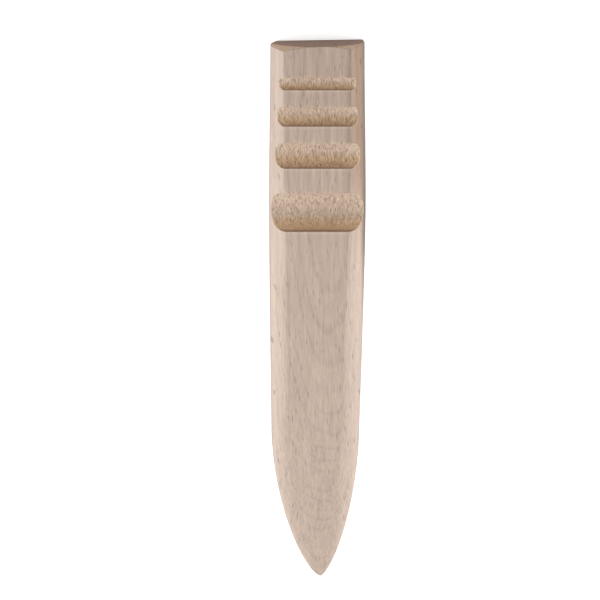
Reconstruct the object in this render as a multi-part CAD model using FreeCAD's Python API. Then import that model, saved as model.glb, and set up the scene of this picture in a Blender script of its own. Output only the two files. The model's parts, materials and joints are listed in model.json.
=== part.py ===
import FreeCAD, Part
import math
import os

# Wood edge slicker: one length of beech that burnishes the cut edge of leather.
# Millimetres. It lies on its flat back: +Z out of the grooved front, +Y toward the
# square butt, the tip at -Y. Places along it are distances from the butt.

# Overall sizes
LENGTH = 160.0
WIDTH = 28.1
THICKNESS = 14.0

# Outline in plan: a little narrower at the butt, widest across the widest groove
BUTT_WIDTH = WIDTH - 1.0
NOSE_LENGTH = 46.0
LEFT_FALL = 0.6
RIGHT_FALL = 1.6
FALL_POWER = 1.3
TIP_WIDTH = 0.5
TIP_OFFSET = 1.0
PLAN_POWER = 1.8
PLAN_ROUNDNESS = 0.7

# Outline from the side: full thickness past the grooves, then thinning to the tip.
# The back is drawn lower by the planing, which is then taken off to leave it flat.
SHOULDER_THICKNESS = THICKNESS - 2.8
THINNING_POWER = 1.5
TIP_THICKNESS = 0.6
TIP_HEIGHT = 4.0
SIDE_POWER = 1.7
SIDE_ROUNDNESS = 0.85
PLANING = 0.5

# Grooves: half round, cut square across the front (distance from the butt, radius)
GROOVES = [(10.8, 1.8), (20.3, 2.8), (31.7, 3.65), (48.2, 5.6)]
LAND_BEYOND_GROOVES = 3.0

# Bevels along both sides: shares of the half width, the back bevels' shares of the
# front ones, the widest line's share of the thickness, and how far the bevels bulge
BEVEL_AT_BUTT = 0.295
BEVEL_AT_SHOULDER = 0.44
BEVEL_AT_TIP = 0.8
BACK_BEVEL_SHARE = 0.5
RIGHT_BACK_SHARE_AT_BUTT = 0.15
WIDEST_LINE_HEIGHT = 0.47
FULLNESS_AT_BUTT = 0.15
FULLNESS_AT_TIP = 0.5

# Butt: sawn slightly out of square, its front edge eased more toward the corners
BUTT_SKEW = 0.9
EASE_RADIUS = 45.0
EASE_OFFSET = 1.5
EASE_TILT = 14.0
EASE_AT_CENTRE = 0.15

# Control sections of the surfaces, and the spare length sawn off past the butt
BODY_SECTIONS = 18
NOSE_SECTIONS = 14
OVERCUT = 3.0


def smooth(t):
    t = min(max(t, 0.0), 1.0)
    return t * t * (3 - 2 * t)


def shoulder():
    """Where the nose starts."""
    return LENGTH - NOSE_LENGTH


def to_tip(s):
    """0 at the tip, 1 at the shoulder and everywhere on the body."""
    return min((LENGTH - s) / NOSE_LENGTH, 1.0)


def side_half(s, fall):
    """Distance of one side from the long axis, before the nose narrows it."""
    widest_at = GROOVES[-1][0]
    if s < widest_at:
        return BUTT_WIDTH / 2 + (WIDTH - BUTT_WIDTH) / 2 * smooth(s / widest_at)
    t = (min(s, shoulder()) - widest_at) / (shoulder() - widest_at)
    return WIDTH / 2 - fall * t ** FALL_POWER


def sides(s):
    """x of the left side and of the right side."""
    narrowing = (1 - (1 - to_tip(s)) ** PLAN_POWER) ** PLAN_ROUNDNESS
    left_reach = side_half(s, LEFT_FALL) + TIP_OFFSET - TIP_WIDTH / 2
    right_reach = side_half(s, RIGHT_FALL) - TIP_OFFSET - TIP_WIDTH / 2
    left = TIP_OFFSET - TIP_WIDTH / 2 - left_reach * narrowing
    right = TIP_OFFSET + TIP_WIDTH / 2 + right_reach * narrowing
    return left, right


def back_and_front(s):
    """z of the back face and of the front face."""
    flat_end = GROOVES[-1][0] + GROOVES[-1][1] + LAND_BEYOND_GROOVES
    thinning = max((s - flat_end) / (shoulder() - flat_end), 0) ** THINNING_POWER
    front = THICKNESS - (THICKNESS - SHOULDER_THICKNESS) * thinning
    opening = (1 - (1 - to_tip(s)) ** SIDE_POWER) ** SIDE_ROUNDNESS
    tip_back = TIP_HEIGHT - TIP_THICKNESS / 2
    tip_front = TIP_HEIGHT + TIP_THICKNESS / 2
    back = tip_back - (tip_back + PLANING) * opening
    return back, tip_front + (front - tip_front) * opening


def bevel_width(s, width):
    share = BEVEL_AT_BUTT + (BEVEL_AT_SHOULDER - BEVEL_AT_BUTT) * smooth(s / shoulder())
    share += (BEVEL_AT_TIP - BEVEL_AT_SHOULDER) * (1 - to_tip(s))
    return share * width / 2


def right_back_share(s):
    """The back bevel on the right starts slimmer at the butt."""
    slimmer = BACK_BEVEL_SHARE - RIGHT_BACK_SHARE_AT_BUTT
    return RIGHT_BACK_SHARE_AT_BUTT + slimmer * smooth(s / GROOVES[-1][0])


def bevel_poles(flat_edge, widest, s):
    """Round from the edge of a flat face to the widest line of the side."""
    full = FULLNESS_AT_BUTT + (FULLNESS_AT_TIP - FULLNESS_AT_BUTT) * smooth(s / LENGTH)
    off_flat = FreeCAD.Vector(flat_edge.x + full * (widest.x - flat_edge.x), flat_edge.y, flat_edge.z)
    off_side = FreeCAD.Vector(widest.x, widest.y, widest.z + full * (flat_edge.z - widest.z))
    return [flat_edge, off_flat, off_side, widest]


def section_poles(s):
    """The six strips of the outline at one place: front, right, back, left."""
    y = LENGTH / 2 - s
    left, right = sides(s)
    back, front = back_and_front(s)
    widest = back + WIDEST_LINE_HEIGHT * (front - back)
    bevel = bevel_width(s, right - left)
    front_left = FreeCAD.Vector(left + bevel, y, front)
    front_right = FreeCAD.Vector(right - bevel, y, front)
    widest_right = FreeCAD.Vector(right, y, widest)
    back_right = FreeCAD.Vector(right - right_back_share(s) * bevel, y, back)
    back_left = FreeCAD.Vector(left + BACK_BEVEL_SHARE * bevel, y, back)
    widest_left = FreeCAD.Vector(left, y, widest)
    return [
        [front_left, front_right],
        bevel_poles(front_right, widest_right, s),
        bevel_poles(back_right, widest_right, s)[::-1],
        [back_right, back_left],
        bevel_poles(back_left, widest_left, s),
        bevel_poles(front_left, widest_left, s)[::-1],
    ]


def strip(rows):
    """A surface along the wood through the same strip of every section."""
    across = len(rows[0]) - 1
    spans = len(rows) - 3
    surface = Part.BSplineSurface()
    surface.buildFromPolesMultsKnots(
        rows,
        [4] + [1] * (spans - 1) + [4],
        [across + 1, across + 1],
        [float(i) for i in range(spans + 1)],
        [0.0, 1.0],
        False,
        False,
        3,
        across,
    )
    return surface.toShape()


def cap(poles):
    """The flat end across one section."""
    edges = []
    for strip_poles in poles:
        curve = Part.BezierCurve()
        curve.setPoles(strip_poles)
        edges.append(curve.toShape())
    return Part.Face(Part.Wire(edges))


def blank():
    """The shaped length of wood, with the overcut still on past the butt."""
    places = [-OVERCUT + (shoulder() + OVERCUT) * i / BODY_SECTIONS for i in range(BODY_SECTIONS)]
    for i in range(NOSE_SECTIONS + 1):
        places.append(shoulder() + NOSE_LENGTH * math.sin(math.pi / 2 * i / NOSE_SECTIONS))
    sections = [section_poles(s) for s in places]
    faces = [strip([poles[i] for poles in sections]) for i in range(len(sections[0]))]
    faces += [cap(sections[0]), cap(sections[-1])]
    shell = Part.makeShell(faces)
    shell.sewShape()
    return Part.makeSolid(shell)


def planing_waste():
    """What the plane takes off the back."""
    corner = FreeCAD.Vector(-WIDTH, -LENGTH, -THICKNESS)
    return Part.makeBox(2 * WIDTH, 2 * LENGTH, THICKNESS, corner)


def butt_waste():
    """What the saw takes off: everything past the skewed end."""
    size = 2 * WIDTH
    block = Part.makeBox(2 * size, size, size, FreeCAD.Vector(-size, 0, -size / 2))
    block.rotate(FreeCAD.Vector(0, 0, 0), FreeCAD.Vector(0, 0, 1), BUTT_SKEW)
    corner_drop = BUTT_WIDTH / 2 * math.tan(math.radians(BUTT_SKEW))
    block.translate(FreeCAD.Vector(0, LENGTH / 2 - corner_drop, 0))
    return block


def ease_waste():
    """What sanding takes off the front edge of the butt, down to a leaning arc."""
    end = LENGTH / 2 - EASE_AT_CENTRE
    block = Part.makeBox(2 * WIDTH, THICKNESS, 3 * THICKNESS)
    block.translate(FreeCAD.Vector(-WIDTH, end - THICKNESS / 2, -THICKNESS))
    kept = Part.makeCylinder(EASE_RADIUS, 8 * THICKNESS, FreeCAD.Vector(0, 0, -4 * THICKNESS))
    kept.rotate(FreeCAD.Vector(0, 0, 0), FreeCAD.Vector(1, 0, 0), EASE_TILT)
    axis_back = EASE_RADIUS / math.cos(math.radians(EASE_TILT))
    kept.translate(FreeCAD.Vector(EASE_OFFSET, end - axis_back, THICKNESS))
    return block.cut(kept)


def groove_cutter(s, radius):
    """A rod across the front, its axis in the front face."""
    start = FreeCAD.Vector(-WIDTH, LENGTH / 2 - s, THICKNESS)
    return Part.makeCylinder(radius, 2 * WIDTH, start, FreeCAD.Vector(1, 0, 0))


def slicker_body():
    wood = blank().cut(planing_waste()).cut(butt_waste()).cut(ease_waste())
    for s, radius in GROOVES:
        wood = wood.cut(groove_cutter(s, radius))
    return wood


os.makedirs("parts", exist_ok=True)
slicker_body().exportStep("parts/slicker_body.step")
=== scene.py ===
import json
import math

import bpy
import numpy as np
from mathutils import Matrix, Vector, noise


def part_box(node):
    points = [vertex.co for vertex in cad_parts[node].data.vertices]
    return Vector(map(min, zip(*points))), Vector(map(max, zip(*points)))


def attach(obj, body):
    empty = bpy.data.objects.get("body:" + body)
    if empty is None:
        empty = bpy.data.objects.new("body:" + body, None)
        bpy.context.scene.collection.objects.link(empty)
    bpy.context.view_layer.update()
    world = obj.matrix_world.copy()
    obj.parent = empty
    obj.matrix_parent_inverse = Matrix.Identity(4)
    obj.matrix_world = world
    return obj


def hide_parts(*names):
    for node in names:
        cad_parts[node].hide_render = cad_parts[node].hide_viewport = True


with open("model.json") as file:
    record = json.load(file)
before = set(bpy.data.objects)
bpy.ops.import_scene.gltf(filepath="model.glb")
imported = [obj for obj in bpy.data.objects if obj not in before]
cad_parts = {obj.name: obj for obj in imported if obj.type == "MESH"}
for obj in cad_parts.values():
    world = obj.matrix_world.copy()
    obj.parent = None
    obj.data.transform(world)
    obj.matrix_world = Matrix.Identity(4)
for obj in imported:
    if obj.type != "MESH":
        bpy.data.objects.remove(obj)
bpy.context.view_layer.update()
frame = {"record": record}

# Wood edge slicker: one length of bare beech. Metres; places along it are distances
# from the butt, which is the +Y end. The front, with the grooves, faces +Z.
MM = 0.001
LOW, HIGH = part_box("slicker_body")
LENGTH = HIGH.y - LOW.y
WIDTH = HIGH.x - LOW.x
THICKNESS = HIGH.z - LOW.z
GROOVES = sorted(
    (HIGH.y - mount["pos_m"][1], mount["dims"]["r_mm"] * MM)
    for mount in frame["record"]["mounts"]
    if mount["name"].startswith("groove")
)

# Outline in plan
BUTT_WIDTH = WIDTH - 1.0 * MM
NOSE_LENGTH = 46.0 * MM
LEFT_FALL = 0.6 * MM
RIGHT_FALL = 1.6 * MM
FALL_POWER = 1.3
TIP_WIDTH = 0.5 * MM
TIP_OFFSET = 1.0 * MM
PLAN_POWER = 1.8
PLAN_ROUNDNESS = 0.7

# Outline from the side
SHOULDER_THICKNESS = THICKNESS - 2.8 * MM
THINNING_POWER = 1.5
LAND_BEYOND_GROOVES = 3.0 * MM
TIP_THICKNESS = 0.6 * MM
TIP_HEIGHT = 4.0 * MM
SIDE_POWER = 1.7
SIDE_ROUNDNESS = 0.85
PLANING = 0.5 * MM

# Bevels along both sides
BEVEL_AT_BUTT = 0.295
BEVEL_AT_SHOULDER = 0.44
BEVEL_AT_TIP = 0.8
BACK_BEVEL_SHARE = 0.5
RIGHT_BACK_SHARE_AT_BUTT = 0.15
WIDEST_LINE_HEIGHT = 0.47
FULLNESS_AT_BUTT = 0.15
FULLNESS_AT_TIP = 0.5

# Butt: sawn slightly out of square, its front edge eased more toward the corners
BUTT_SKEW = math.radians(0.9)
EASE_RADIUS = 45.0 * MM
EASE_OFFSET = 1.5 * MM
EASE_TILT = math.radians(14.0)
EASE_AT_CENTRE = 0.15 * MM
SAWN_ROUGHNESS = 0.03 * MM
SAW_MARK_WIDTH = 0.6 * MM
SAW_MARK_HEIGHT = 0.35 * MM

# Torn grain across the grooves, their worn lips, and the unevenness of hand sanding
LIP_RADIUS = 0.14 * MM
LIP_WANDER = 0.06 * MM
TORN_DEPTH = 0.09 * MM
TORN_WIDTH = 0.31 * MM
TORN_LENGTH = 1.35 * MM
TORN_PATCH = 1.8 * MM
TORN_SLANT = 0.45
TORN_STRENGTH = 2.0
TORN_FINE_STRENGTH = 0.5
LIP_WANDER_LENGTH = 0.7 * MM
END_FADE_STEPS = 3
SANDING_WAVE = 0.05 * MM
SANDING_SINK = 0.3
SANDING_ACROSS = 6 * MM
SANDING_ALONG = 22 * MM
SANDING_UP = 9 * MM

# How far round a groove, 0 at its lip toward the butt and 1 at the lip toward the tip:
# where the browner wall starts, whose tone is end grain and painted bounce light, its lip,
# which takes painted shade, and where the cut turns cleaner. The widest
# groove has its own wall and clean cut.
WALL_FROM = 0.4
WALL_FROM_WIDEST = 0.5
WALL_SPAN = 0.3
LIP_FROM = 0.82
LIP_SPAN = 0.18
CLEAN_FROM = 0.85
CLEAN_FROM_WIDEST = 0.72
CLEAN_SPAN = 0.1
CLEANED = 0.7

# Mesh steps
FRONT_STEPS = 144
BEVEL_STEPS = 16
BACK_BEVEL_STEPS = 7
BACK_STEPS = 14
GROOVE_STEP = 0.20 * MM
LIP_STEPS = 3
LAND_STEP = 0.8 * MM
BUTT_STEP = 0.15 * MM
CURVE_SAMPLES = 300
NOSE_STEPS = 64
END_STEPS = 24
TIP_STEPS = 3

# Figure of the wood, in millimetres: growth rings round a pith above the front,
# rays that show as short dashes, and fibres along the length
PITH = (4.0, 60.0)
RING_SPACING = 0.5
RAY_SIZE = (0.19, 1.1, 4.0)
RAY_SPACING = 5.6
RAY_LEAN = 0.08
SMALL_RAY_SCALE = 1.9
RING_WANDER = 5.0
RING_UNEVENNESS = 2.0

# Noises of the figure: how fine along x, y and z, in cells per millimetre
BROAD_GRAIN = (0.08, 0.018, 0.08)
STREAK_GRAIN = (0.9, 0.03, 0.9)
FIBRE_GRAIN = (3.2, 0.16, 3.2)
PORE_GRAIN = (7.0, 1.1, 7.0)
END_PORE_GRAIN = (4.0, 4.0, 4.0)
WANDER_GRAIN = (0.05, 0.03, 0.05)
UNEVEN_GRAIN = (0.06, 0.02, 0.06)

# How much each one darkens or changes the colour
BROAD_CONTRAST = 0.18
STREAK_CONTRAST = 0.36
FIBRE_CONTRAST = 0.60
PORE_CONTRAST = 0.12
LATE_WOOD_SHADE = 0.10
RAY_SHADE = 0.30
SMALL_RAY_SHADE = 0.14
# Torn fibres: their own lighter and darker colour, with painted light on raised and painted
# shade on sunken ones
TORN_FIBRE_AND_HIGHLIGHT_SHARE = 0.40
TORN_GAP_AND_SHADE_SHARE = 0.72
# Lip toward the tip: wear with a painted highlight
WORN_AND_HIGHLIGHT_SHARE = 0.5
# Darker and browner toward the butt; along the right edge this is painted shade
BROWN_MIDDLE = 0.15
RIGHT_EDGE_SHADE = 0.80

# Beech, linear colours
FACE_TONE = (0.418, 0.327, 0.268)
# Painted shade on the steep sides
STEEP_SIDE_SHADE_TONE = (0.265, 0.215, 0.192)
# Painted shade along the right rim near the butt
RIGHT_RIM_SHADE_TONE = (0.125, 0.085, 0.064)
# End grain's own darker tone, darkened further with painted shade
END_GRAIN_AND_SHADE_TONE = (0.212, 0.126, 0.088)
# Painted light on the butt's eased facets
EASED_FACET_LIGHT_TONE = (0.480, 0.325, 0.225)
# Lip toward the tip: worn tone with a painted highlight
WORN_AND_HIGHLIGHT_TONE = (0.560, 0.450, 0.370)
# Groove floor: fresh-cut tone, lightened with painted light where the groove lies in shade
GROOVE_FLOOR_CUT_AND_LIGHT_TONE = (0.450, 0.350, 0.272)
# Wall toward the tip: end-grain tint with painted warm bounce light
GROOVE_WALL_GRAIN_AND_BOUNCE_TONE = (0.570, 0.385, 0.235)
# Painted shade at the lip of the wall toward the tip
GROOVE_LIP_SHADE_TONE = (0.290, 0.165, 0.095)
# Torn fibres: own colour, with painted light on raised and painted shade on sunken ones
TORN_FIBRE_AND_HIGHLIGHT_TONE = (0.640, 0.510, 0.400)
TORN_GAP_AND_SHADE_TONE = (0.300, 0.195, 0.122)
# Darker, browner tone toward the butt; along the right edge it is painted shade
BROWN_AND_SHADE_SHARE = (0.580, 0.485, 0.385)

# Camera and studio
VIEW_TILT = math.radians(12.5)
VIEW_DISTANCE = 1.0
VIEW_TARGET = Vector((-5.0, 4.55, 7.0)) * MM
VIEW_LENS = 206.1
FLOOR_SIZE = 8.0
FLOOR_TONE = 0.93
FLOOR_GLOW = 0.48
FLOOR_GAP = 0.02 * MM
WORLD_STRENGTH = 0.35
SOFTBOX_SIZE = 0.5


def smooth(t):
    t = np.clip(t, 0.0, 1.0)
    return t * t * (3 - 2 * t)


def shoulder():
    """Where the nose starts."""
    return LENGTH - NOSE_LENGTH


def to_tip(s):
    """0 at the tip, 1 at the shoulder and everywhere on the body."""
    return min(max((LENGTH - s) / NOSE_LENGTH, 0.0), 1.0)


def side_half(s, fall):
    """Distance of one side from the long axis, before the nose narrows it."""
    widest_at = GROOVES[-1][0]
    if s < widest_at:
        return BUTT_WIDTH / 2 + (WIDTH - BUTT_WIDTH) / 2 * smooth(s / widest_at)
    t = (min(s, shoulder()) - widest_at) / (shoulder() - widest_at)
    return WIDTH / 2 - fall * t ** FALL_POWER


def sides(s):
    """x of the left side and of the right side."""
    narrowing = (1 - (1 - to_tip(s)) ** PLAN_POWER) ** PLAN_ROUNDNESS
    left_reach = side_half(s, LEFT_FALL) + TIP_OFFSET - TIP_WIDTH / 2
    right_reach = side_half(s, RIGHT_FALL) - TIP_OFFSET - TIP_WIDTH / 2
    left = TIP_OFFSET - TIP_WIDTH / 2 - left_reach * narrowing
    right = TIP_OFFSET + TIP_WIDTH / 2 + right_reach * narrowing
    return left, right


def back_and_front(s):
    """z of the back face, before it is planed flat, and of the front face."""
    flat_end = GROOVES[-1][0] + GROOVES[-1][1] + LAND_BEYOND_GROOVES
    thinning = max((s - flat_end) / (shoulder() - flat_end), 0.0) ** THINNING_POWER
    front = THICKNESS - (THICKNESS - SHOULDER_THICKNESS) * thinning
    opening = (1 - (1 - to_tip(s)) ** SIDE_POWER) ** SIDE_ROUNDNESS
    tip_back = TIP_HEIGHT - TIP_THICKNESS / 2
    tip_front = TIP_HEIGHT + TIP_THICKNESS / 2
    back = tip_back - (tip_back + PLANING) * opening
    return back, tip_front + (front - tip_front) * opening


def bevel_width(s, width):
    share = BEVEL_AT_BUTT + (BEVEL_AT_SHOULDER - BEVEL_AT_BUTT) * smooth(s / shoulder())
    share += (BEVEL_AT_TIP - BEVEL_AT_SHOULDER) * (1 - to_tip(s))
    return share * width / 2


def right_back_share(s):
    """The back bevel on the right starts slimmer at the butt."""
    slimmer = BACK_BEVEL_SHARE - RIGHT_BACK_SHARE_AT_BUTT
    return RIGHT_BACK_SHARE_AT_BUTT + slimmer * smooth(s / GROOVES[-1][0])


def bevel_curve(s, start_depth, steps):
    """Shares of a bevel's width and depth along its curve, from a depth to the widest line."""
    full = FULLNESS_AT_BUTT + (FULLNESS_AT_TIP - FULLNESS_AT_BUTT) * smooth(s / LENGTH)
    fine = np.linspace(0, 1, CURVE_SAMPLES)
    fine_depth = 3 * (1 - fine) * fine ** 2 * (1 - full) + fine ** 3
    t = np.linspace(np.interp(start_depth, fine_depth, fine), 1, steps + 1)
    across = 3 * (1 - t) ** 2 * t * full + 3 * (1 - t) * t ** 2 + t ** 3
    depth = 3 * (1 - t) * t ** 2 * (1 - full) + t ** 3
    return across, depth


def outline(s, floor):
    """x and z round the wood at s: front, right, back, left. The front is cut to the floor."""
    left, right = sides(s)
    back, front = back_and_front(s)
    widest = back + WIDEST_LINE_HEIGHT * (front - back)
    bevel = bevel_width(s, right - left)
    floor = min(floor, front)
    flat_back = max(back, 0.0)
    across, depth = bevel_curve(s, (front - floor) / (front - widest), BEVEL_STEPS)
    in_front = bevel * (1 - across)
    front_z = front - (front - widest) * depth
    across, depth = bevel_curve(s, (flat_back - back) / (widest - back), BACK_BEVEL_STEPS)
    in_left_back = BACK_BEVEL_SHARE * bevel * (1 - across)
    in_right_back = right_back_share(s) * bevel * (1 - across)
    back_z = back + (widest - back) * depth
    front_x = np.linspace(left + in_front[0], right - in_front[0], FRONT_STEPS + 1)
    back_x = np.linspace(right - in_right_back[0], left + in_left_back[0], BACK_STEPS + 1)
    x = [
        front_x,
        (right - in_front)[1:],
        (right - in_right_back)[-2::-1],
        back_x[1:],
        (left + in_left_back)[1:],
        (left + in_front)[-2:0:-1],
    ]
    z = [
        np.full(FRONT_STEPS + 1, floor),
        front_z[1:],
        back_z[-2::-1],
        np.full(BACK_STEPS, flat_back),
        back_z[1:],
        front_z[-2:0:-1],
    ]
    return np.concatenate(x), np.concatenate(z)


def steps_between(start, end, step):
    """Even places after the start, up to and with the end."""
    return np.linspace(start, end, max(int(round((end - start) / step)), 1) + 1)[1:]


def groove_stations(s, radius, number):
    """Round the near lip, down the groove and up again, and round the far lip."""
    stations = []
    turn = np.linspace(0, math.pi / 2, LIP_STEPS + 1)
    for a in turn:
        place = s - radius - LIP_RADIUS * (1 - math.sin(a))
        height = THICKNESS - LIP_RADIUS * (1 - math.cos(a))
        stations.append((place, height, (math.sin(a), math.cos(a)), number, 0.0))
    start = math.asin(LIP_RADIUS / radius)
    for a in steps_between(start, math.pi - start, GROOVE_STEP / radius):
        place = s - radius * math.cos(a)
        height = THICKNESS - radius * math.sin(a)
        stations.append((place, height, (math.cos(a), math.sin(a)), number, a / math.pi))
    for a in turn[::-1][1:]:
        place = s + radius + LIP_RADIUS * (1 - math.sin(a))
        height = THICKNESS - LIP_RADIUS * (1 - math.cos(a))
        stations.append((place, height, (-math.sin(a), math.cos(a)), number, 1.0))
    return stations


def all_stations():
    """Every ring along the wood: place, floor height, way out of the floor (toward the
    tip, up), groove number or -1, and how far across the groove."""
    land = (0.0, 1.0)
    stations = [(0.0, THICKNESS, land, -1, 0.0), (BUTT_STEP, THICKNESS, land, -1, 0.0)]
    for number, (s, radius) in enumerate(GROOVES):
        lip = s - radius - LIP_RADIUS
        for place in steps_between(stations[-1][0], lip, LAND_STEP)[:-1]:
            stations.append((place, THICKNESS, land, -1, 0.0))
        stations += groove_stations(s, radius, number)
    for place in steps_between(stations[-1][0], shoulder(), LAND_STEP):
        stations.append((place, THICKNESS, land, -1, 0.0))
    for i in range(1, NOSE_STEPS + 1):
        place = shoulder() + NOSE_LENGTH * math.sin(math.pi / 2 * i / NOSE_STEPS)
        stations.append((place, THICKNESS, land, -1, 0.0))
    return stations


def butt_end(x, z):
    """Distance of the sawn and eased end from the butt's furthest corner, over x and z."""
    sawn = (BUTT_WIDTH / 2 - x) * math.tan(BUTT_SKEW)
    eased = (x - EASE_OFFSET) ** 2 / (2 * EASE_RADIUS)
    eased = eased + (z - THICKNESS) * math.tan(EASE_TILT) + EASE_AT_CENTRE
    return np.maximum(sawn, eased)


def torn_grain(x, arc, number):
    """-1 to 1: short strokes of torn fibre down a groove, slanting both ways. The third
    coordinates only keep the noises apart."""
    drift = noise.noise(Vector((x / TORN_PATCH, arc / TORN_PATCH, 7.3 + number)))
    u = (x + TORN_SLANT * drift * TORN_PATCH) / TORN_WIDTH
    v = arc / TORN_LENGTH + 2 * noise.noise(Vector((x / (2 * TORN_WIDTH), 3.1, number)))
    coarse = noise.noise(Vector((u, v, 11.0 * number)))
    fine = noise.noise(Vector((2 * u, 2 * v, 5.0 + 11.0 * number)))
    return min(max(TORN_STRENGTH * coarse + TORN_FINE_STRENGTH * fine, -1.0), 1.0)


def is_widest(number):
    return number == len(GROOVES) - 1


def tornness(share, number):
    """1 where a groove's cut is torn, less where it turns cleaner toward the tip."""
    clean_from = CLEAN_FROM_WIDEST if is_widest(number) else CLEAN_FROM
    return 1 - CLEANED * smooth((share - clean_from) / CLEAN_SPAN)


def wall_share(share, number):
    """0 down in a groove, 1 on the wall toward the tip, 2 at that wall's lip."""
    wall_from = WALL_FROM_WIDEST if is_widest(number) else WALL_FROM
    return smooth((share - wall_from) / WALL_SPAN) + smooth((share - LIP_FROM) / LIP_SPAN)


def meet_butt(place, x, z):
    """Distances from the butt round a ring: the first rings lean to meet the sawn end."""
    first_lip = GROOVES[0][0] - GROOVES[0][1] - LIP_RADIUS
    if place >= first_lip:
        return np.full(len(x), place)
    end = butt_end(x, z)
    return end + place * (1 - end / first_lip)


def roughen(x, s, z, out, number, share):
    """Tears the cut across the front, or wears it on a lip, and gives how torn each
    point is."""
    torn = np.zeros(len(x))
    on_lip = share in (0.0, 1.0)
    radius = GROOVES[number][1]
    for j in range(FRONT_STEPS + 1):
        torn[j] = torn_grain(x[j], share * math.pi * radius, number) * tornness(share, number)
        depth = TORN_DEPTH * torn[j]
        if on_lip:
            wander = noise.noise(Vector((x[j] / LIP_WANDER_LENGTH, number, share)))
            depth = LIP_WANDER * wander * out[0] ** 2
        depth *= min(min(j, FRONT_STEPS - j) / END_FADE_STEPS, 1.0)
        s[j] += out[0] * depth
        z[j] += out[1] * depth
    return torn


def sand(x, s, z):
    """Low waves across the front, as hand sanding leaves them."""
    for j in range(1, FRONT_STEPS):
        place = Vector((x[j] / SANDING_ACROSS, s[j] / SANDING_ALONG, z[j] / SANDING_UP))
        wave = SANDING_WAVE * (noise.noise(place) - SANDING_SINK)
        z[j] = min(z[j] + wave, THICKNESS)


def wood_grid():
    """The rings' points, and for each point how torn, worn or deep in a groove it is. These
    also place painted light and shade: on the torn fibres, a painted highlight on the
    worn lip, and painted light and shade down a groove.
    """
    rings = []
    marks = {"torn": [], "worn": [], "groove": []}
    for place, floor, out, number, share in all_stations():
        x, z = outline(place, floor)
        s = meet_butt(place, x, z)
        torn = np.zeros(len(x))
        worn = np.zeros(len(x))
        groove = np.zeros(len(x))
        if number < 0:
            sand(x, s, z)
        else:
            torn = roughen(x, s, z, out, number, share)
            # On a lip: the one toward the tip takes the worn tone with its painted highlight
            if share in (0.0, 1.0):
                worn[: FRONT_STEPS + 1] = share
            else:
                # Down a groove: the mask for its painted light, its wall's painted bounce
                # light and its lip's painted shade
                groove[: FRONT_STEPS + 1] = 1 + wall_share(share, number)
        rings.append(np.stack([x, HIGH.y - s, z], axis=1))
        marks["torn"].append(torn)
        marks["worn"].append(worn)
        marks["groove"].append(groove)
    return rings, marks


def closing_rings(ring, steps, surface):
    """Rings that shrink to the middle of an end, on the given surface."""
    middle = (ring.min(axis=0) + ring.max(axis=0)) / 2
    rings = []
    for k in range(1, steps):
        share = 1 - k / steps
        inner = middle + (ring - middle) * share
        rings.append(surface(inner))
    return rings, surface(middle[None, :])


def butt_surface(points):
    """Points moved onto the sawn and eased end, with its saw marks."""
    points = points.copy()
    for p in points:
        rough = noise.noise(Vector((p[0] / SAW_MARK_WIDTH, p[2] / SAW_MARK_HEIGHT, 2.0)))
        p[1] = HIGH.y - float(butt_end(p[0], p[2])) - SAWN_ROUGHNESS * (1 + rough)
    return points


def tip_surface(points):
    """Points moved onto the flat end of the tip."""
    points = points.copy()
    points[:, 1] = LOW.y
    return points


def ring_faces(rings, around):
    """Quads between the rings, and a fan over each end. The ends' middles come last."""
    faces = []
    last = (rings - 1) * around
    butt_middle = rings * around
    tip_middle = butt_middle + 1
    for i in range(rings - 1):
        for j in range(around):
            k = (j + 1) % around
            a = i * around
            b = a + around
            faces.append((a + j, b + j, b + k, a + k))
    for j in range(around):
        k = (j + 1) % around
        faces.append((butt_middle, j, k))
        faces.append((last + k, last + j, tip_middle))
    return faces


def slicker_wood(material):
    """The whole slicker as one closed mesh of rings, with its wear kept on the points,
    along with the masks for its painted light and shade.
    """
    rings, marks = wood_grid()
    butt_rings, butt_middle = closing_rings(rings[0], END_STEPS, butt_surface)
    tip_rings, tip_middle = closing_rings(rings[-1], TIP_STEPS, tip_surface)
    around = len(rings[0])
    chain = butt_rings[::-1] + rings + tip_rings
    points = np.concatenate(chain + [butt_middle, tip_middle])
    mesh = bpy.data.meshes.new("slicker_wood")
    mesh.from_pydata(points.tolist(), [], ring_faces(len(chain), around))
    mesh.validate()
    mesh.shade_smooth()
    before = np.zeros(len(butt_rings) * around)
    after = np.zeros(len(tip_rings) * around + 2)
    for name, values in marks.items():
        layer = mesh.attributes.new(name, "FLOAT", "POINT")
        all_values = np.concatenate([before] + values + [after])
        layer.data.foreach_set("value", all_values.astype(np.float32))
    piece = bpy.data.objects.new("slicker_wood", mesh)
    bpy.context.scene.collection.objects.link(piece)
    mesh.materials.append(material)
    return piece


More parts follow.
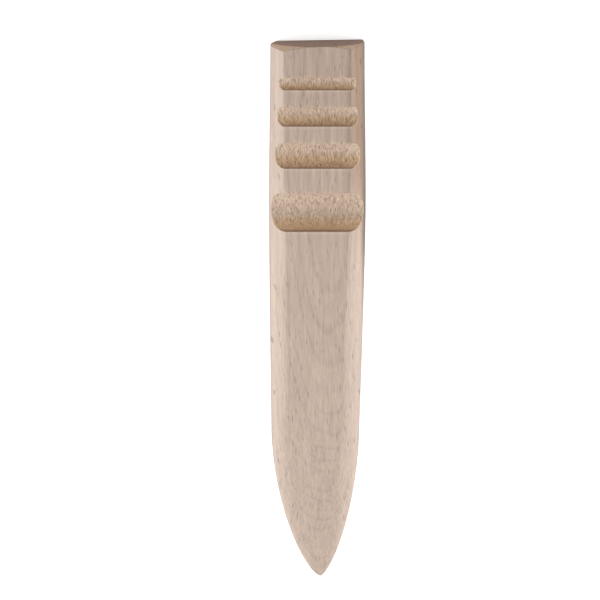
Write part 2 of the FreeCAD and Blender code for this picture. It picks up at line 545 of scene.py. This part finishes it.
class Shader:
    """Short calls for making and joining the nodes of one material."""

    def __init__(self, name):
        self.material = bpy.data.materials.new(name)
        self.material.use_nodes = True
        self.tree = self.material.node_tree
        self.surface = self.tree.nodes["Principled BSDF"]

    def node(self, kind, inputs=None, **settings):
        node = self.tree.nodes.new(kind)
        for key, value in settings.items():
            setattr(node, key, value)
        for key, value in (inputs or {}).items():
            self.join(value, node.inputs[key])
        return node

    def join(self, value, socket):
        if isinstance(value, bpy.types.NodeSocket):
            self.tree.links.new(value, socket)
        else:
            socket.default_value = value

    def math(self, operation, a, b=0.0):
        return self.node("ShaderNodeMath", {0: a, 1: b}, operation=operation).outputs[0]

    def scaled(self, vector, factors):
        inputs = {0: vector, 1: factors}
        return self.node("ShaderNodeVectorMath", inputs, operation="MULTIPLY").outputs[0]

    def noise(self, vector, detail=2.0, roughness=0.5):
        inputs = {"Vector": vector, "Scale": 1.0, "Detail": detail, "Roughness": roughness}
        return self.node("ShaderNodeTexNoise", inputs).outputs["Fac"]

    def between(self, value, low, high, to_low=0.0, to_high=1.0):
        """A value's smooth way from one number to another as it goes from low to high."""
        inputs = {"Value": value, 1: low, 2: high, 3: to_low, 4: to_high}
        node = self.node("ShaderNodeMapRange", inputs, interpolation_type="SMOOTHSTEP")
        return node.outputs["Result"]

    def mix(self, factor, a, b, blend="MIX"):
        inputs = {"Factor": factor, 6: a, 7: b}
        node = self.node("ShaderNodeMix", inputs, data_type="RGBA", blend_type=blend)
        return node.outputs[2]

    def product(self, a, b):
        return self.math("MULTIPLY", a, b)

    def darken(self, colour, amount):
        """The colour times one minus the amount."""
        inputs = {0: colour, "Scale": self.math("SUBTRACT", 1.0, amount)}
        return self.node("ShaderNodeVectorMath", inputs, operation="SCALE").outputs[0]

    def attribute(self, name):
        return self.node("ShaderNodeAttribute", attribute_name=name).outputs["Fac"]


def opaque(tone):
    return (*tone, 1.0)


def growth_rings(w, place, axes):
    """Round the pith: sideways and down from it, distance out, and how late in its year."""
    wander = w.math("SUBTRACT", w.noise(w.scaled(place, WANDER_GRAIN)), 0.5)
    from_pith = w.math("SUBTRACT", axes[0], PITH[0])
    across = w.math("ADD", from_pith, w.product(wander, RING_WANDER))
    below = w.math("SUBTRACT", PITH[1], axes[2])
    squares = w.math("ADD", w.math("POWER", across, 2.0), w.math("POWER", below, 2.0))
    out = w.math("SQRT", squares)
    uneven = w.product(w.noise(w.scaled(place, UNEVEN_GRAIN), 2.0), RING_UNEVENNESS)
    years = w.math("ADD", w.math("DIVIDE", out, RING_SPACING), uneven)
    year = w.math("FRACT", years)
    late_wood = w.product(w.between(year, 0.60, 0.86), w.between(year, 0.88, 1.0, 1.0, 0.0))
    which_year = w.node("ShaderNodeCombineXYZ", {0: w.product(years, 0.5)}).outputs[0]
    some_years = w.between(w.noise(which_year), 0.35, 0.65, 0.25, 1.0)
    return across, below, out, w.product(late_wood, some_years)


def ray_dashes(w, axes, across, below, out):
    """Large and small rays: spots of the wood's own block, long out from the pith."""
    around = w.product(w.math("ARCTAN2", across, below), PITH[1])
    leaning = w.math("ADD", around, w.product(axes[1], RAY_LEAN))
    cells = {
        0: w.math("DIVIDE", leaning, RAY_SIZE[0] * RAY_SPACING),
        1: w.math("DIVIDE", axes[1], RAY_SIZE[1] * RAY_SPACING),
        2: w.math("DIVIDE", out, RAY_SIZE[2] * RAY_SPACING),
    }
    ray_place = w.node("ShaderNodeCombineXYZ", cells).outputs[0]
    small_place = w.scaled(ray_place, (SMALL_RAY_SCALE, SMALL_RAY_SCALE, SMALL_RAY_SCALE))
    dashes = []
    for spot_place, edge in ((ray_place, 1.15), (small_place, 1.3)):
        spots = w.node("ShaderNodeTexVoronoi", {"Vector": spot_place, "Scale": 1.0})
        distance = spots.outputs["Distance"]
        dashes.append(w.between(distance, 0.6 / RAY_SPACING, edge / RAY_SPACING, 1.0, 0.0))
    return dashes


def outside_tone(w, axes, facing, end_grain):
    """Face, sides and butt. Darker and browner toward the butt, most of all along its
    right edge, where it is painted shade. Painted shade on the steep sides and in a dark
    band on the right rim near the butt; the butt's end grain darkened with painted shade
    and its eased facets lightened with painted light."""
    # Darker and browner toward the butt; the right edge's share is painted shade
    middle = w.between(axes[0], -11.0, -5.0, 0.0, BROWN_MIDDLE)
    right = w.between(axes[0], 7.5, 11.5, 0.0, RIGHT_EDGE_SHADE)
    middle = w.product(middle, w.between(axes[1], 5.0, 68.0))
    right = w.product(right, w.between(axes[1], 13.0, 51.0))
    brown = w.math("ADD", middle, right)
    # Painted shade: a dark band along the right rim near the butt
    right_rim_shade = w.product(w.between(axes[0], 12.1, 13.9), w.between(axes[1], -8.0, 25.0))
    # Painted shade: steep faces turned to either side take a darker tone
    toward_side = w.between(w.math("ABSOLUTE", facing[0]), 0.3, 0.6)
    steep = w.between(w.math("ABSOLUTE", facing[2]), 0.14, 0.51, 1.0, 0.0)
    # Painted light: the butt's facets that tilt up take a lighter tone
    eased = w.between(facing[2], 0.06, 0.2)
    brown_tone = [face * share for face, share in zip(FACE_TONE, BROWN_AND_SHADE_SHARE)]
    # The butt: end grain darkened with painted shade, eased facets lightened with painted
    # light
    butt = w.mix(eased, opaque(END_GRAIN_AND_SHADE_TONE), opaque(EASED_FACET_LIGHT_TONE))
    colour = w.mix(brown, opaque(FACE_TONE), opaque(brown_tone))
    colour = w.mix(w.product(toward_side, steep), colour, opaque(STEEP_SIDE_SHADE_TONE))
    colour = w.mix(right_rim_shade, colour, opaque(RIGHT_RIM_SHADE_TONE))
    return w.mix(end_grain, colour, butt)


def cut_tone(w, colour):
    """The same wood where it is cut: down a groove, up its wall, torn or worn. Down
    the groove it is lightened with painted light; the wall toward the tip carries painted
    bounce light and that wall's lip painted shade; torn fibres carry painted light and
    shade of their relief, and the worn lip a painted highlight.
    """
    torn = w.attribute("torn")
    groove = w.attribute("groove")
    # Raised torn fibres lighter, sunken ones darker: their own colour with painted light and
    # shade
    light = w.between(torn, 0.0, 0.9, 0.0, TORN_FIBRE_AND_HIGHLIGHT_SHARE)
    dark = w.between(torn, 0.0, -0.8, 0.0, TORN_GAP_AND_SHADE_SHARE)
    # Lip toward the tip: worn, with a painted highlight
    worn = w.product(w.attribute("worn"), WORN_AND_HIGHLIGHT_SHARE)
    # Down a groove: fresh-cut tone with painted light
    colour = w.mix(w.between(groove, 0.0, 1.0), colour, opaque(GROOVE_FLOOR_CUT_AND_LIGHT_TONE))
    # Wall toward the tip: end-grain tint with painted bounce light
    colour = w.mix(w.between(groove, 1.0, 2.0), colour, opaque(GROOVE_WALL_GRAIN_AND_BOUNCE_TONE))
    # Painted shade at the lip of the wall toward the tip
    colour = w.mix(w.between(groove, 2.1, 3.0), colour, opaque(GROOVE_LIP_SHADE_TONE))
    colour = w.mix(light, colour, opaque(TORN_FIBRE_AND_HIGHLIGHT_TONE))
    colour = w.mix(dark, colour, opaque(TORN_GAP_AND_SHADE_TONE))
    return w.mix(worn, colour, opaque(WORN_AND_HIGHLIGHT_TONE))


def bare_finish(w, place, fibres, pores, ray, end_grain):
    """Bare sanded wood: a dull gloss, and the relief of fibres, rays and end grain."""
    rough = w.math("ADD", w.product(fibres, 0.25), 0.5)
    rough = w.math("ADD", rough, w.product(end_grain, 0.2))
    w.join(w.math("MINIMUM", rough, 0.95), w.surface.inputs["Roughness"])
    w.surface.inputs["IOR"].default_value = 1.45
    w.surface.inputs["Specular IOR Level"].default_value = 0.35
    height = w.math("ADD", w.product(fibres, 0.5), w.product(pores, 0.5))
    height = w.math("SUBTRACT", height, w.product(ray, 0.6))
    end_pores = w.product(w.noise(w.scaled(place, END_PORE_GRAIN), 3.0), end_grain)
    height = w.math("ADD", height, w.product(end_pores, 1.5))
    relief = {"Height": height, "Strength": 0.5, "Distance": 0.04 * MM}
    w.join(w.node("ShaderNodeBump", relief).outputs["Normal"], w.surface.inputs["Normal"])


def beech():
    """Bare sanded beech: rings, rays and fibres in one block of wood, so that each
    face shows its own cut through them."""
    w = Shader("beech")
    coords = w.node("ShaderNodeTexCoord")
    place = w.scaled(coords.outputs["Object"], (1000.0, 1000.0, 1000.0))
    axes = w.node("ShaderNodeSeparateXYZ", {0: place}).outputs
    facing = w.node("ShaderNodeSeparateXYZ", {0: coords.outputs["Normal"]}).outputs
    end_grain = w.between(w.math("ABSOLUTE", facing[1]), 0.55, 0.97)
    broad = w.noise(w.scaled(place, BROAD_GRAIN), 3.0)
    streaks = w.noise(w.scaled(place, STREAK_GRAIN), 3.0)
    fibres = w.noise(w.scaled(place, FIBRE_GRAIN), 3.0, 0.6)
    pores = w.noise(w.scaled(place, PORE_GRAIN), 2.0)
    across, below, out, late_wood = growth_rings(w, place, axes)
    ray, small_ray = ray_dashes(w, axes, across, below, out)
    shade = 0.0
    for value, contrast in (
        (broad, BROAD_CONTRAST),
        (streaks, STREAK_CONTRAST),
        (fibres, FIBRE_CONTRAST),
        (pores, PORE_CONTRAST),
    ):
        shade = w.math("ADD", shade, w.product(w.math("SUBTRACT", value, 0.5), contrast))
    for value, amount in (
        (late_wood, LATE_WOOD_SHADE),
        (ray, RAY_SHADE),
        (small_ray, SMALL_RAY_SHADE),
    ):
        shade = w.math("ADD", shade, w.product(value, amount))
    colour = cut_tone(w, outside_tone(w, axes, facing, end_grain))
    w.join(w.darken(colour, shade), w.surface.inputs["Base Color"])
    bare_finish(w, place, fibres, pores, ray, end_grain)
    return w.material


def floor():
    """A plain pale floor that the back rests on, lit a little from within so that it
    stays white round the object."""
    w = Shader("pale_floor")
    w.surface.inputs["Base Color"].default_value = opaque((FLOOR_TONE, FLOOR_TONE, FLOOR_TONE))
    w.surface.inputs["Roughness"].default_value = 0.95
    w.surface.inputs["Emission Color"].default_value = (1.0, 1.0, 1.0, 1.0)
    w.surface.inputs["Emission Strength"].default_value = FLOOR_GLOW
    w.surface.inputs["Specular IOR Level"].default_value = 0.0
    half = FLOOR_SIZE / 2
    z = LOW.z - FLOOR_GAP
    corners = [(-half, -half, z), (half, -half, z), (half, half, z), (-half, half, z)]
    mesh = bpy.data.meshes.new("studio_floor")
    mesh.from_pydata(corners, [], [(0, 1, 2, 3)])
    mesh.materials.append(w.material)
    piece = bpy.data.objects.new("studio_floor", mesh)
    bpy.context.scene.collection.objects.link(piece)


def softbox(name, place, watts):
    """A square soft light at a place, turned to the object."""
    data = bpy.data.lights.new(name, "AREA")
    data.size = SOFTBOX_SIZE
    data.energy = watts
    lamp = bpy.data.objects.new(name, data)
    lamp.location = place
    lamp.rotation_euler = (-Vector(place)).to_track_quat("-Z", "Y").to_euler()
    lamp.visible_camera = False
    bpy.context.scene.collection.objects.link(lamp)


def studio():
    """A pale world and four soft lights, low on both sides."""
    world = bpy.data.worlds.new("studio")
    world.use_nodes = True
    background = world.node_tree.nodes["Background"]
    background.inputs["Color"].default_value = (1.0, 1.0, 1.0, 1.0)
    background.inputs["Strength"].default_value = WORLD_STRENGTH
    scene = bpy.context.scene
    scene.world = world
    scene.view_settings.view_transform = "Standard"
    softbox("left_low", (-0.88, 0.0, 0.19), 2.3)
    softbox("left_near", (-0.35, -0.12, 0.22), 2.3)
    softbox("right_near", (0.42, -0.10, 0.12), 3.1)
    softbox("right_high", (0.78, 0.0, 0.45), 1.9)


def camera():
    """Above the front, tilted so that a little of the butt's end shows."""
    data = bpy.data.cameras.new("camera")
    data.lens = VIEW_LENS
    data.sensor_width = 36.0
    data.clip_start = 0.01
    eye = bpy.data.objects.new("camera", data)
    toward = Vector((0.0, math.sin(VIEW_TILT), math.cos(VIEW_TILT)))
    eye.location = VIEW_TARGET + VIEW_DISTANCE * toward
    eye.rotation_euler = (-VIEW_TILT, 0.0, 0.0)
    bpy.context.scene.collection.objects.link(eye)
    bpy.context.scene.camera = eye


wood = slicker_wood(beech())
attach(wood, "root")
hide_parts("slicker_body")
floor()
studio()
camera()
